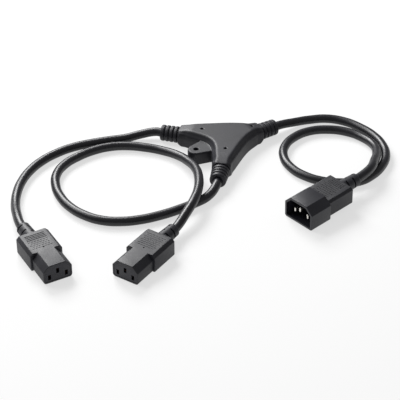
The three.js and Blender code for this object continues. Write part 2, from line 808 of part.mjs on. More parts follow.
const splitter = new THREE.Group();
splitter.add(junction());
splitter.add(outlet('left_outlet', leftOutlet));
splitter.add(outlet('front_outlet', frontOutlet));
splitter.add(plug('inlet_plug', inletPlug));
splitter.add(cord('left_cord', leftRoute));
splitter.add(cord('front_cord', frontRoute));
splitter.add(cord('inlet_cord', rightRoute));

export default splitter;
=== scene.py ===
import math

import bmesh
import bpy
from mathutils import Matrix, Vector


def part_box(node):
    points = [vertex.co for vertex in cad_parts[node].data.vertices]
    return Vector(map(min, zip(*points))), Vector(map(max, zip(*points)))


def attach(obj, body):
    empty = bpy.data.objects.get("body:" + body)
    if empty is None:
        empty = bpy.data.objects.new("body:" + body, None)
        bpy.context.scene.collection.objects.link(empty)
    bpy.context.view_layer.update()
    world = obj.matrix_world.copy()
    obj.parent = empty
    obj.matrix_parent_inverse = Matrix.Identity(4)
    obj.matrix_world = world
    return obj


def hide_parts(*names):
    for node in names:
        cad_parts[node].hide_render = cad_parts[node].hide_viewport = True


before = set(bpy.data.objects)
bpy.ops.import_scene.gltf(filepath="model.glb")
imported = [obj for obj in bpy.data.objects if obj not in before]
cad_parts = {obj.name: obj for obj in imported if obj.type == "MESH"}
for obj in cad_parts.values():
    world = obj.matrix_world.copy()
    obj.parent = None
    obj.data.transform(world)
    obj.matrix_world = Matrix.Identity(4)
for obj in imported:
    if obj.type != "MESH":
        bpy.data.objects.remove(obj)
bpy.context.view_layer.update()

MM = 0.001

# Shared modelling values
CUT_PAST = 1.0 * MM
MAX_CORNER_SHARE = 0.49
CORNER_STEPS = 4
ROD_SIDES = 40
HOLE_SIDES = 32
SHARP_DEGREES = 32
JUNCTION_SHARP_DEGREES = 60

# Camera
VIEW_TARGET = Vector((-0.0639, -0.0519, 0.0))
VIEW_DISTANCE = 1.1287
VIEW_PITCH = math.radians(34.85)
VIEW_HEADING = math.radians(57.7)
FOCAL_PIXELS = 1372.0
FRAME_PIXELS = 400.0
SENSOR_WIDTH = 36.0
CLIP_END = 20.0

# Cords
CORD_DIAMETER = 7.8 * MM
BORE_CLEARANCE = 0.08 * MM
CORD_ROUND_STEPS = 6
CORD_LENGTH_STEPS = 8

# Junction
BODY_HEIGHT = 16.6 * MM
OUTPUT_HALF_ANGLE = math.radians(46.8)
INPUT_ARM = 46.7 * MM
OUTPUT_ARM = 62.0 * MM
BACK_WEB = 20.5 * MM
FRONT_WEB = 17.0 * MM
CROTCH_WEB = 22.6 * MM
ARM_HALF_WIDTH = 8.2 * MM
ARM_LEAD_IN = 7.0 * MM
ARM_FLARE = 0.42 * MM
LEAD_LENGTH = 13.0 * MM
LEAD_DROP = 2.4 * MM
LEAD_BASE = 13.1 * MM
HOLE_RADIUS = 1.25 * MM
HOLE_DEPTH = 3.0 * MM
INPUT_HOLE_PLACE = 22.0 * MM
OUTPUT_HOLE_PLACE = 25.3 * MM
JUNCTION_VOXEL = 0.34 * MM

# Boots
BOOT_RADIUS = 7.0 * MM
BOOT_LENGTH = 16.4 * MM
BOOT_GROOVES = 4
GROOVE_PITCH = 3.9 * MM
GROOVE_WIDTH = 1.1 * MM
GROOVE_DEPTH = 1.3 * MM
GROOVE_ROUND = 0.25 * MM
RIB_ROUND = 0.45 * MM
BOOT_FLARE = 0.15
BOOT_END_ROUND = 1.2 * MM
BOOT_SIDES = 64
INPUT_JACKET_DEPTH = 20.0 * MM
OUTPUT_JACKET_DEPTH = 22.0 * MM

# Screw ear
EAR_PLACE = 35.0 * MM
EAR_RADIUS = 7.3 * MM
EAR_HEIGHT = 11.8 * MM
EAR_ROOT_HALF_WIDTH = 11.0 * MM
EAR_ROOT_DEPTH = 3.0 * MM
EAR_STEPS = 24
EAR_HOLE_RADIUS = 2.15 * MM

# Blades and slots
BLADE_THICKNESS = 2.0 * MM
BLADE_HEIGHT = 4.0 * MM
BLADE_SPACING = 14.0 * MM
EARTH_RISE = 4.2 * MM
SLOT_ALLOWANCE = 0.5 * MM
CONTACT_WALL = 0.35 * MM
SEAT_GAP = 0.3 * MM

# Outlet connectors
NOSE_WIDTH = 23.8 * MM
NOSE_HEIGHT = 15.8 * MM
NOSE_LENGTH = 20.3 * MM
NOSE_TOP_CUT = 5.0 * MM
NOSE_BOTTOM_ROUND = 2.4 * MM
GRIP_WIDTH = 27.0 * MM
GRIP_LENGTH = 26.9 * MM
GRIP_TOP_CUT = 2.5 * MM
GRIP_BOTTOM_ROUND = 1.4 * MM
SLOT_HEIGHT_ABOVE_BASE = 5.3 * MM
CARRIER_INSET = 1.4 * MM
CARRIER_LENGTH = 18.0 * MM
CARRIER_FRONT_WALL = 2.0 * MM
DIMPLE_PLACE = 24.8 * MM
DIMPLE_RADIUS = 0.7 * MM
DIMPLE_DEPTH = 1.2 * MM
NOSE_TOP_ROUND = 0.8 * MM
NOSE_END_ROUND = 0.5 * MM
GRIP_TOP_ROUND = 0.7 * MM
GRIP_REAR_ROUND = 0.7 * MM
GRIP_FRONT_ROUND = 0.45 * MM
CARRIER_CUT_SHARE = 0.4
CARRIER_TOP_ROUND = 0.6 * MM
CARRIER_BOTTOM_ROUND = 1.4 * MM
CARRIER_CLEARANCE = 0.05 * MM
CARRIER_FACE_INSET = 0.15 * MM

# Inlet plug
SHROUD_WIDTH = 30.4 * MM
SHROUD_HEIGHT = 20.8 * MM
SHROUD_LENGTH = 21.6 * MM
SHROUD_TOP_CUT = 6.3 * MM
SHROUD_BOTTOM_ROUND = 1.8 * MM
SHROUD_WALL = 1.9 * MM
CAVITY_DEPTH = 18.0 * MM
BLADE_RECESS = 3.2 * MM
EARTH_LEAD = 1.6 * MM
SHROUD_TOP_ROUND = 0.8 * MM
SHROUD_REAR_ROUND = 0.4 * MM
SHROUD_RIM_ROUND = 0.45 * MM
CAVITY_CUT_SHARE = 0.6
CAVITY_TOP_ROUND = 0.6 * MM
CAVITY_BOTTOM_ROUND = 0.9 * MM
CAVITY_END_ROUND = 0.5 * MM
PLUG_CORE_LENGTH = 6.0 * MM
BLADE_EDGE_ROUND = 0.5 * MM
BLADE_TIP_ROUND = 0.7 * MM
HALF_SEAT_GAP = SEAT_GAP / 2
PLUG_BODY_WIDTH = 27.4 * MM
PLUG_BODY_BOTTOM = 2.3 * MM
PLUG_BODY_TOP = 17.6 * MM
PLUG_BODY_LENGTH = 27.2 * MM
PLUG_BODY_TOP_CUT = 2.0 * MM
PLUG_BODY_TOP_ROUND = 0.7 * MM
PLUG_BODY_BOTTOM_ROUND = 1.2 * MM
PLUG_BODY_REAR_ROUND = 0.7 * MM
PLUG_BODY_FRONT_ROUND = 0.2 * MM
PLUG_TILT = math.radians(2.2)

# Strain reliefs
RELIEF_ROOT_RADIUS = 6.3 * MM
RELIEF_END_RADIUS = 5.6 * MM
RELIEF_LENGTH = 18.4 * MM
RELIEF_COLLAR = 3.0 * MM
RELIEF_SLOT_START = 4.3 * MM
RELIEF_SLOT_WIDTH = 1.4 * MM
RELIEF_SLOT_PITCH = 7.4 * MM
RELIEF_SLOTS_PER_SIDE = 2
RELIEF_BRIDGE = 1.2 * MM
CONNECTOR_JACKET_DEPTH = 6.0 * MM
RELIEF_ROOT_OVERLAP = 2.0 * MM
RELIEF_END_ROUND = 1.1 * MM
RELIEF_SIDES = 56
SMALLEST_ROUND = 0.1 * MM

# Places: middle of the front face on the floor, and the heading that the face looks along
LEFT_OUTLET = (-211.7 * MM, -84.8 * MM, math.radians(-92.6))
FRONT_OUTLET = (-168.9 * MM, -112.0 * MM, math.radians(-155.6))
INLET_PLUG = (-14.8 * MM, -121.6 * MM, math.radians(-170.6))

# Cord routes in metres, from the junction to the connector
LEFT_ROUTE = [
    (-0.0274, 0.0292, 0.0070), (-0.0424, 0.0452, 0.0070), (-0.0460, 0.0490, 0.0069),
    (-0.0575, 0.0542, 0.0055), (-0.0711, 0.0576, 0.0042), (-0.0863, 0.0627, 0.0040),
    (-0.1016, 0.0669, 0.0040), (-0.1175, 0.0695, 0.0040), (-0.1341, 0.0685, 0.0040),
    (-0.1499, 0.0643, 0.0040), (-0.1647, 0.0566, 0.0040), (-0.1779, 0.0457, 0.0040),
    (-0.1888, 0.0326, 0.0040), (-0.1976, 0.0175, 0.0044), (-0.2045, -0.0002, 0.0069),
    (-0.2086, -0.0157, 0.0079), (-0.2088, -0.0200, 0.0079), (-0.2098, -0.0436, 0.0079),
]
FRONT_ROUTE = [
    (-0.0274, -0.0292, 0.0070), (-0.0424, -0.0452, 0.0070), (-0.0460, -0.0490, 0.0069),
    (-0.0577, -0.0558, 0.0047), (-0.0734, -0.0583, 0.0040), (-0.0900, -0.0589, 0.0040),
    (-0.1064, -0.0577, 0.0040), (-0.1220, -0.0545, 0.0040), (-0.1364, -0.0484, 0.0040),
    (-0.1485, -0.0390, 0.0040), (-0.1571, -0.0250, 0.0040), (-0.1614, -0.0087, 0.0040),
    (-0.1613, 0.0081, 0.0040), (-0.1573, 0.0242, 0.0040), (-0.1487, 0.0393, 0.0040),
    (-0.1353, 0.0494, 0.0040), (-0.1200, 0.0540, 0.0040), (-0.1048, 0.0554, 0.0040),
    (-0.0904, 0.0532, 0.0040), (-0.0769, 0.0466, 0.0040), (-0.0647, 0.0359, 0.0040),
    (-0.0548, 0.0235, 0.0041), (-0.0484, 0.0084, 0.0053), (-0.0475, -0.0081, 0.0077),
    (-0.0505, -0.0241, 0.0106), (-0.0573, -0.0396, 0.0125), (-0.0670, -0.0539, 0.0131),
    (-0.0785, -0.0655, 0.0130), (-0.0921, -0.0752, 0.0109), (-0.1059, -0.0834, 0.0079),
    (-0.1098, -0.0852, 0.0079), (-0.1314, -0.0950, 0.0079),
]
INLET_ROUTE = [
    (0.0267, 0.0000, 0.0070), (0.0467, 0.0000, 0.0070), (0.0529, 0.0000, 0.0069),
    (0.0669, -0.0007, 0.0053), (0.0820, -0.0028, 0.0040), (0.0965, -0.0096, 0.0040),
    (0.1071, -0.0219, 0.0040), (0.1126, -0.0376, 0.0040), (0.1143, -0.0547, 0.0040),
    (0.1111, -0.0716, 0.0040), (0.1030, -0.0859, 0.0040), (0.0902, -0.0965, 0.0040),
    (0.0749, -0.1031, 0.0040), (0.0599, -0.1046, 0.0040), (0.0461, -0.0986, 0.0040),
    (0.0344, -0.0884, 0.0040), (0.0264, -0.0743, 0.0040), (0.0238, -0.0579, 0.0040),
    (0.0281, -0.0406, 0.0040), (0.0392, -0.0269, 0.0040), (0.0544, -0.0195, 0.0040),
    (0.0706, -0.0185, 0.0040), (0.0858, -0.0247, 0.0040), (0.0981, -0.0368, 0.0040),
    (0.1042, -0.0524, 0.0041), (0.1033, -0.0690, 0.0053), (0.0949, -0.0832, 0.0077),
    (0.0831, -0.0947, 0.0110), (0.0710, -0.1047, 0.0132), (0.0549, -0.1101, 0.0127),
    (0.0507, -0.1108, 0.0125), (0.0273, -0.1146, 0.0116),
]


# Mesh helpers

def new_object(name, mesh):
    """Puts a mesh or curve in the scene."""
    obj = bpy.data.objects.new(name, mesh)
    bpy.context.scene.collection.objects.link(obj)
    return obj


def rounded(points, radii, steps=CORNER_STEPS):
    """A closed outline whose corners are replaced by arcs of the given radii."""
    outline = []
    count = len(points)
    for i, (corner, radius) in enumerate(zip(points, radii)):
        corner = Vector(corner)
        to_last = Vector(points[i - 1]) - corner
        to_next = Vector(points[(i + 1) % count]) - corner
        if radius <= 0:
            outline.append(corner)
            continue
        half = to_last.angle(to_next) / 2
        longest = MAX_CORNER_SHARE * min(to_last.length, to_next.length)
        reach = min(radius / math.tan(half), longest)
        radius = reach * math.tan(half)
        to_last.normalize()
        to_next.normalize()
        centre = corner + (to_last + to_next).normalized() * (radius / math.sin(half))
        start = corner + to_last * reach - centre
        end = corner + to_next * reach - centre
        turn = math.atan2(start.x * end.y - start.y * end.x, start.dot(end))
        for k in range(steps + 1):
            angle = turn * k / steps
            spin = Matrix.Rotation(angle, 2)
            outline.append(centre + spin @ start)
    return outline


def inset(outline, distance):
    """The anticlockwise outline moved inwards by a distance."""
    moved = []
    count = len(outline)
    for i, point in enumerate(outline):
        before = (point - outline[i - 1]).normalized()
        after = (outline[(i + 1) % count] - point).normalized()
        normal_before = Vector((-before.y, before.x))
        normal_after = Vector((-after.y, after.x))
        mitre = (normal_before + normal_after) / (1 + normal_before.dot(normal_after))
        moved.append(point + mitre * distance)
    return moved


def loft(name, rings):
    """A closed skin over rings of equal count, with a flat face at each end."""
    bm = bmesh.new()
    loops = [[bm.verts.new(p) for p in ring] for ring in rings]
    count = len(loops[0])
    for lower, upper in zip(loops, loops[1:]):
        for i in range(count):
            j = (i + 1) % count
            bm.faces.new((lower[i], lower[j], upper[j], upper[i]))
    bm.faces.new(list(reversed(loops[0])))
    bm.faces.new(loops[-1])
    bmesh.ops.recalc_face_normals(bm, faces=bm.faces)
    mesh = bpy.data.meshes.new(name)
    bm.to_mesh(mesh)
    bm.free()
    return new_object(name, mesh)


def prism(name, section, x_from, x_to, round_from=0.0, round_to=0.0, steps=CORNER_STEPS):
    """A prism along X over a section in YZ, with its two end edges rounded."""
    stations = []
    from_steps = steps if round_from > 0 else 0
    to_steps = steps if round_to > 0 else 0
    for k in range(from_steps + 1):
        angle = 0.5 * math.pi * k / steps
        station = x_from + round_from * (1 - math.cos(angle))
        stations.append((station, round_from * (1 - math.sin(angle))))
    for k in range(to_steps + 1):
        angle = 0.5 * math.pi * (steps - k) / steps if to_steps else 0.5 * math.pi
        station = x_to - round_to * (1 - math.cos(angle))
        stations.append((station, round_to * (1 - math.sin(angle))))
    rings = [[(x, p.x, p.y) for p in section(distance)] for x, distance in stations]
    return loft(name, rings)


def turned(name, profile, sides, height, widen=None):
    """A solid turned about the X axis from (station, radius) points, with flat ends."""
    rings = []
    for station, radius in profile:
        wide = widen(station) if widen else 1.0
        ring = []
        for k in range(sides):
            angle = 2 * math.pi * k / sides
            across = radius * wide * math.cos(angle)
            ring.append((station, across, height + radius * math.sin(angle)))
        rings.append(ring)
    return loft(name, rings)


def rod(name, radius, x_from, x_to, height):
    """A round bar along X."""
    return turned(name, [(x_from, radius), (x_to, radius)], ROD_SIDES, height)


def upright_rod(name, x, y, bottom, top, radius):
    """A round bar along Z."""
    rings = []
    for z in (bottom, top):
        ring = []
        for k in range(HOLE_SIDES):
            angle = 2 * math.pi * k / HOLE_SIDES
            ring.append((x + radius * math.cos(angle), y + radius * math.sin(angle), z))
        rings.append(ring)
    return loft(name, rings)


def block(name, low, high):
    """A box from its lowest and highest corner."""
    outline = [Vector((low[1], low[2])), Vector((high[1], low[2])),
               Vector((high[1], high[2])), Vector((low[1], high[2]))]
    return prism(name, lambda distance: outline, low[0], high[0])


def bars(name, boxes):
    """Many separate boxes as one object, each from its lowest and highest corner."""
    bm = bmesh.new()
    for low, high in boxes:
        middle = (Vector(low) + Vector(high)) / 2
        size = Vector(high) - Vector(low)
        placing = Matrix.Translation(middle) @ Matrix.Diagonal((*size, 1))
        bmesh.ops.create_cube(bm, size=1, matrix=placing)
    mesh = bpy.data.meshes.new(name)
    bm.to_mesh(mesh)
    bm.free()
    return new_object(name, mesh)


def bake_modifiers(obj):
    """Puts what the modifiers make into the object's own mesh."""
    graph = bpy.context.evaluated_depsgraph_get()
    mesh = bpy.data.meshes.new_from_object(obj.evaluated_get(graph))
    obj.modifiers.clear()
    old = obj.data
    obj.data = mesh
    bpy.data.meshes.remove(old)


def combine(obj, tools, operation):
    """Joins the tools to an object, or cuts them out of it, and removes them."""
    for tool in tools:
        modifier = obj.modifiers.new(tool.name, "BOOLEAN")
        modifier.operation = operation
        modifier.solver = "EXACT"
        modifier.object = tool
    bake_modifiers(obj)
    for tool in tools:
        mesh = tool.data
        bpy.data.objects.remove(tool)
        bpy.data.meshes.remove(mesh)


def place(obj, matrix):
    """Moves the object's mesh into the shared frame."""
    obj.data.transform(matrix)


def shade(obj, degrees=SHARP_DEGREES):
    """Smooth shading, apart from edges sharper than the angle."""
    mesh = obj.data
    mesh.polygons.foreach_set("use_smooth", [True] * len(mesh.polygons))
    mesh.set_sharp_from_angle(angle=math.radians(degrees))


# Materials

# Where the noise's middle part lies, which is spread over a material's whole range
NOISE_LOW = 0.3
NOISE_HIGH = 0.7
CLOUD_DETAIL = 3.0
GRAIN_DETAIL = 2.0
BLUE_SHARE = 1.4


def material(name):
    """A new material, with the parts of its node tree that are used here."""
    mat = bpy.data.materials.new(name)
    mat.use_nodes = True
    nodes = mat.node_tree.nodes
    shader = nodes["Principled BSDF"]
    return mat, nodes, mat.node_tree.links, shader


def object_noise(nodes, links, scale, detail):
    """Noise fixed to the object."""
    coords = nodes.new("ShaderNodeTexCoord")
    noise = nodes.new("ShaderNodeTexNoise")
    noise.inputs["Scale"].default_value = scale
    noise.inputs["Detail"].default_value = detail
    links.new(coords.outputs["Object"], noise.inputs["Vector"])
    return noise.outputs["Fac"]


def spread(nodes, links, source, low, high):
    """The noise's middle part, spread over a range."""
    ramp = nodes.new("ShaderNodeMapRange")
    ramp.inputs["From Min"].default_value = NOISE_LOW
    ramp.inputs["From Max"].default_value = NOISE_HIGH
    ramp.inputs["To Min"].default_value = low
    ramp.inputs["To Max"].default_value = high
    links.new(source, ramp.inputs["Value"])
    return ramp.outputs["Result"]


def tint(nodes, links, source, dark, light):
    """A colour between two, by a factor."""
    mix = nodes.new("ShaderNodeMix")
    mix.data_type = "RGBA"
    mix.inputs["A"].default_value = (*dark, 1)
    mix.inputs["B"].default_value = (*light, 1)
    links.new(source, mix.inputs["Factor"])
    return mix.outputs["Result"]


def surface(name, dark, light, rough, cloud, grain, grain_depth, metallic=0.0):
    """A moulded, drawn or plated surface: clouded colour and gloss, and a fine grain."""
    mat, nodes, links, shader = material(name)
    clouds = object_noise(nodes, links, cloud, CLOUD_DETAIL)
    factor = spread(nodes, links, clouds, 0.0, 1.0)
    links.new(tint(nodes, links, factor, dark, light), shader.inputs["Base Color"])
    links.new(spread(nodes, links, clouds, *rough), shader.inputs["Roughness"])
    shader.inputs["Metallic"].default_value = metallic
    grains = object_noise(nodes, links, grain, GRAIN_DETAIL)
    bump = nodes.new("ShaderNodeBump")
    bump.inputs["Strength"].default_value = 1.0
    bump.inputs["Distance"].default_value = grain_depth
    links.new(grains, bump.inputs["Height"])
    links.new(bump.outputs["Normal"], shader.inputs["Normal"])
    return mat


def near_black(value):
    """A dark grey with a little blue in it."""
    return (value, value, value * BLUE_SHARE)


MOULDED = surface(
    "moulded_pvc", dark=near_black(0.011), light=near_black(0.017), rough=(0.45, 0.54),
    cloud=60, grain=2600, grain_depth=0.03 * MM)
SMOOTH = surface(
    "smooth_moulding", dark=near_black(0.014), light=near_black(0.019), rough=(0.33, 0.38),
    cloud=45, grain=1800, grain_depth=0.012 * MM)
CARRIER = surface(
    "carrier_plastic", dark=near_black(0.016), light=near_black(0.022), rough=(0.45, 0.55),
    cloud=80, grain=2200, grain_depth=0.02 * MM)
JACKET = surface(
    "cord_jacket", dark=near_black(0.008), light=near_black(0.012), rough=(0.34, 0.40),
    cloud=40, grain=900, grain_depth=0.003 * MM)
NICKEL = surface(
    "nickel_plate", dark=(0.66, 0.64, 0.60), light=(0.78, 0.76, 0.72), rough=(0.16, 0.28),
    cloud=300, grain=1500, grain_depth=0.004 * MM, metallic=1.0)
BRASS = surface(
    "brass", dark=(0.60, 0.42, 0.16), light=(0.74, 0.55, 0.24), rough=(0.25, 0.38),
    cloud=250, grain=1200, grain_depth=0.006 * MM, metallic=1.0)
BROWN = surface(
    "brown_insulation", dark=(0.10, 0.035, 0.012), light=(0.14, 0.05, 0.02), rough=(0.35, 0.45),
    cloud=200, grain=1500, grain_depth=0.01 * MM)
BLUE = surface(
    "blue_insulation", dark=(0.02, 0.09, 0.32), light=(0.03, 0.12, 0.40), rough=(0.35, 0.45),
    cloud=200, grain=1500, grain_depth=0.01 * MM)

GREEN = (0.03, 0.22, 0.03)
YELLOW = (0.70, 0.56, 0.03)
STRIPE_SCALE = 180
STRIPE_WAVER = 0.4
STRIPE_EDGE = (0.45, 0.55)
STRIPE_ROUGHNESS = 0.4


def striped_insulation():
    """Green insulation with yellow stripes along it."""
    mat, nodes, links, shader = material("green_yellow_insulation")
    coords = nodes.new("ShaderNodeTexCoord")
    wave = nodes.new("ShaderNodeTexWave")
    wave.bands_direction = "DIAGONAL"
    wave.inputs["Scale"].default_value = STRIPE_SCALE
    wave.inputs["Distortion"].default_value = STRIPE_WAVER
    links.new(coords.outputs["Object"], wave.inputs["Vector"])
    step = nodes.new("ShaderNodeMapRange")
    step.inputs["From Min"].default_value = STRIPE_EDGE[0]
    step.inputs["From Max"].default_value = STRIPE_EDGE[1]
    links.new(wave.outputs["Fac"], step.inputs["Value"])
    colour = tint(nodes, links, step.outputs["Result"], GREEN, YELLOW)
    links.new(colour, shader.inputs["Base Color"])
    shader.inputs["Roughness"].default_value = STRIPE_ROUGHNESS
    return mat


GREEN_YELLOW = striped_insulation()
CORE_LOOKS = {"line": BROWN, "neutral": BLUE, "earth": GREEN_YELLOW}
BRASS_LOOKS = {"line": BRASS, "neutral": BRASS, "earth": BRASS}


def dress(obj, look, *nodes):
    """Gives a piece its material and its body, and puts it in place of CAD nodes."""
    obj.data.materials.clear()
    obj.data.materials.append(look)
    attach(obj, "root")
    if nodes:
        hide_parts(*nodes)


# Camera and cords come first

def make_camera():
    """The photo's camera, as fitted to the connectors' edges."""
    camera = bpy.data.objects.new("camera", bpy.data.cameras.new("camera"))
    bpy.context.scene.collection.objects.link(camera)
    ahead = Vector((math.cos(VIEW_HEADING), math.sin(VIEW_HEADING), 0))
    view = ahead * math.cos(VIEW_PITCH) - Vector((0, 0, math.sin(VIEW_PITCH)))
    camera.location = VIEW_TARGET - view * VIEW_DISTANCE
    camera.rotation_euler = view.to_track_quat("-Z", "Y").to_euler()
    camera.data.sensor_width = SENSOR_WIDTH
    camera.data.lens = FOCAL_PIXELS / FRAME_PIXELS * SENSOR_WIDTH
    camera.data.clip_end = CLIP_END
    bpy.context.scene.camera = camera


def make_cord(name, node, route):
    """A round cord along its route, in place of the CAD's cord."""
    curve = bpy.data.curves.new(name, "CURVE")
    curve.dimensions = "3D"
    curve.bevel_depth = CORD_DIAMETER / 2
    curve.bevel_resolution = CORD_ROUND_STEPS
    curve.resolution_u = CORD_LENGTH_STEPS
    curve.use_fill_caps = True
    spline = curve.splines.new("BEZIER")
    spline.bezier_points.add(len(route) - 1)
    for point, place_ in zip(spline.bezier_points, route):
        point.co = place_
        point.handle_left_type = "AUTO"
        point.handle_right_type = "AUTO"
    cord = new_object(name, curve)
    dress(cord, JACKET, node)
    return cord


make_camera()
left_cord = make_cord("left_cord_jacket", "left_cord", LEFT_ROUTE)
front_cord = make_cord("front_cord_jacket", "front_cord", FRONT_ROUTE)
inlet_cord = make_cord("inlet_cord_jacket", "inlet_cord", INLET_ROUTE)


# Junction

HUB = Vector((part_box("junction_overmould")[1][0] - INPUT_ARM, 0.0))
ARMS = {
    "input": (0.0, INPUT_ARM, INPUT_JACKET_DEPTH, INPUT_HOLE_PLACE),
    "left": (math.pi - OUTPUT_HALF_ANGLE, OUTPUT_ARM, OUTPUT_JACKET_DEPTH, OUTPUT_HOLE_PLACE),
    "front": (math.pi + OUTPUT_HALF_ANGLE, OUTPUT_ARM, OUTPUT_JACKET_DEPTH, OUTPUT_HOLE_PLACE),
}

# Section of the body's side, as (distance in from the outline, height)
BODY_SIDE = [
    (1.10, 0.0), (0.45, 0.15), (0.10, 0.60), (0.0, 1.3), (0.0, 8.9), (0.05, 9.2), (0.35, 9.5),
    (0.18, 9.8), (0.15, 11.0), (0.28, 11.9), (0.65, 12.6), (1.25, 13.2), (1.85, 14.0),
    (2.40, 15.0), (2.95, 15.9), (3.60, 16.4), (4.30, BODY_HEIGHT / MM),
]
# Section of the screw ear's side, in the same way
EAR_SIDE = [(0.6, 0.0), (0.0, 0.5), (0.0, 10.4), (0.15, 11.1), (0.5, 11.6), (1.1, EAR_HEIGHT / MM)]

BODY_OVERRUN = 5.0 * MM
BODY_VOXEL = 0.55 * MM
BODY_SOFTENING = 10
SOFTENING_FACTOR = 0.5
JUNCTION_SOFTENING = 3
END_BLOCK = 20.0 * MM

# Where an arm turns from its flat-based section into the round section of its boot
ARM_BLEND = 9.0 * MM
ARM_BLEND_HALF_WIDTH = 12.0 * MM
ARM_CORNER_REACH = 11.4 * MM
ARM_END_REACH = 8.15 * MM
PAST_ARM_END = 1.1
LEAD_POWER = 1.5
CURVE_STEPS = 30


def arm_point(arm, along, across):
    """A point beside an arm's middle line, measured from the hub."""
    angle = ARMS[arm][0]
    c, s = math.cos(angle), math.sin(angle)
    return Vector((along * c - across * s, along * s + across * c))


def spline_point(marks, t):
    """A uniform Catmull-Rom curve between the two middle marks."""
    a, b, c, d = marks
    ahead, back = (c - a) * 0.5, (d - b) * 0.5
    return (b * (2 * t**3 - 3 * t**2 + 1) + ahead * (t**3 - 2 * t**2 + t)
            + c * (3 * t**2 - 2 * t**3) + back * (t**3 - t**2))


def web_edge(first, second, web, bisector):
    """The edge between two neighbouring arms, as a smooth curve through the web's middle."""
    first_end = ARMS[first][1] - BOOT_LENGTH
    second_end = ARMS[second][1] - BOOT_LENGTH
    wide = ARM_HALF_WIDTH + ARM_FLARE
    marks = [
        arm_point(first, first_end - ARM_LEAD_IN, wide),
        Vector((web * math.cos(bisector), web * math.sin(bisector))),
        arm_point(second, second_end - ARM_LEAD_IN, -wide),
    ]
    marks = [2 * marks[0] - marks[1], *marks, 2 * marks[2] - marks[1]]
    edge = [arm_point(first, first_end + BODY_OVERRUN, ARM_HALF_WIDTH),
            arm_point(first, first_end, ARM_HALF_WIDTH)]
    for k in range(CURVE_STEPS + 1):
        t = 2 * k / CURVE_STEPS
        i = min(int(t), 1)
        edge.append(spline_point(marks[i:i + 4], t - i))
    edge.append(arm_point(second, second_end, -ARM_HALF_WIDTH))
    edge.append(arm_point(second, second_end + BODY_OVERRUN, -ARM_HALF_WIDTH))
    return edge


def slope_to_boots(mesh):
    """Lowers the top of the body towards each boot."""
    for vertex in mesh.vertices:
        share = (vertex.co.z - LEAD_BASE) / (BODY_HEIGHT - LEAD_BASE)
        if share <= 0:
            continue
        for angle, length, _, _ in ARMS.values():
            along = vertex.co.x * math.cos(angle) + vertex.co.y * math.sin(angle)
            t = (along - length + BOOT_LENGTH + LEAD_LENGTH) / LEAD_LENGTH
            if 0 < t < PAST_ARM_END:
                vertex.co.z -= LEAD_DROP * share * min(t, 1.0) ** LEAD_POWER


def round_arm_ends(mesh):
    """Draws the last stretch of each arm in to the round section of its boot."""
    for vertex in mesh.vertices:
        for angle, length, _, _ in ARMS.values():
            c, s = math.cos(angle), math.sin(angle)
            along = vertex.co.x * c + vertex.co.y * s
            across = vertex.co.y * c - vertex.co.x * s
            t = (along - length + BOOT_LENGTH + ARM_BLEND) / ARM_BLEND
            if not 0 < t < PAST_ARM_END or abs(across) > ARM_BLEND_HALF_WIDTH:
                continue
            share = min(t, 1.0) ** 2
            rise = vertex.co.z - BOOT_RADIUS
            reach = math.hypot(across, rise)
            limit = ARM_CORNER_REACH + (ARM_END_REACH - ARM_CORNER_REACH) * share
            if reach > limit:
                shift = across * (limit / reach - 1)
                vertex.co.x -= s * shift
                vertex.co.y += c * shift
                vertex.co.z = BOOT_RADIUS + rise * limit / reach


def soften(obj, voxel, rounds):
    """Remeshes a closed piece evenly and rounds its edges."""
    remesh = obj.modifiers.new("fuse", "REMESH")
    remesh.mode = "VOXEL"
    remesh.voxel_size = voxel
    smooth = obj.modifiers.new("soften", "SMOOTH")
    smooth.factor = SOFTENING_FACTOR
    smooth.iterations = rounds
    bake_modifiers(obj)


def junction_body():
    """The triangular body without its boots, ear and holes, with softened edges."""
    side = (math.pi - OUTPUT_HALF_ANGLE) / 2
    outline = [
        *web_edge("input", "left", BACK_WEB, side),
        *web_edge("left", "front", CROTCH_WEB, math.pi),
        *web_edge("front", "input", FRONT_WEB, -side),
    ]
    rings = []
    for distance, height in BODY_SIDE:
        ring = inset(outline, distance * MM)
        rings.append([(p.x, p.y, height * MM) for p in ring])
    body = loft("junction", rings)
    ends = []
    for angle, length, _, _ in ARMS.values():
        end = block("end", (0.0, -END_BLOCK, -CUT_PAST), (END_BLOCK, END_BLOCK, END_BLOCK))
        place(end, Matrix.Rotation(angle, 4, "Z") @ Matrix.Translation((length - BOOT_LENGTH, 0, 0)))
        ends.append(end)
    combine(body, ends, "DIFFERENCE")
    soften(body, BODY_VOXEL, BODY_SOFTENING)
    return body


def boot_profile():
    """The ribbed outline of a boot, from inside the arm to the cord's mouth."""
    floor = BOOT_RADIUS - GROOVE_DEPTH
    corners = [(-ARM_LEAD_IN, BOOT_RADIUS)]
    radii = [0.0]
    for i in range(BOOT_GROOVES):
        start = i * GROOVE_PITCH
        corners += [(start, BOOT_RADIUS), (start, floor),
                    (start + GROOVE_WIDTH, floor), (start + GROOVE_WIDTH, BOOT_RADIUS)]
        radii += [RIB_ROUND, GROOVE_ROUND, GROOVE_ROUND, RIB_ROUND]
    corners += [(BOOT_LENGTH, BOOT_RADIUS), (BOOT_LENGTH, 0.0), (-ARM_LEAD_IN, 0.0)]
    radii += [BOOT_END_ROUND, 0.0, 0.0]
    return [(p.x, p.y) for p in rounded(corners, radii)][:-2]


def boot(arm):
    """One ribbed boot, a little wider than high at its root."""
    angle, length, _, _ = ARMS[arm]
    piece = turned(
        "boot_" + arm, boot_profile(), BOOT_SIDES, BOOT_RADIUS,
        widen=lambda station: 1 + BOOT_FLARE * (1 - max(station, 0.0) / BOOT_LENGTH),
    )
    place(piece, Matrix.Rotation(angle, 4, "Z") @ Matrix.Translation((length - BOOT_LENGTH, 0, 0)))
    return piece


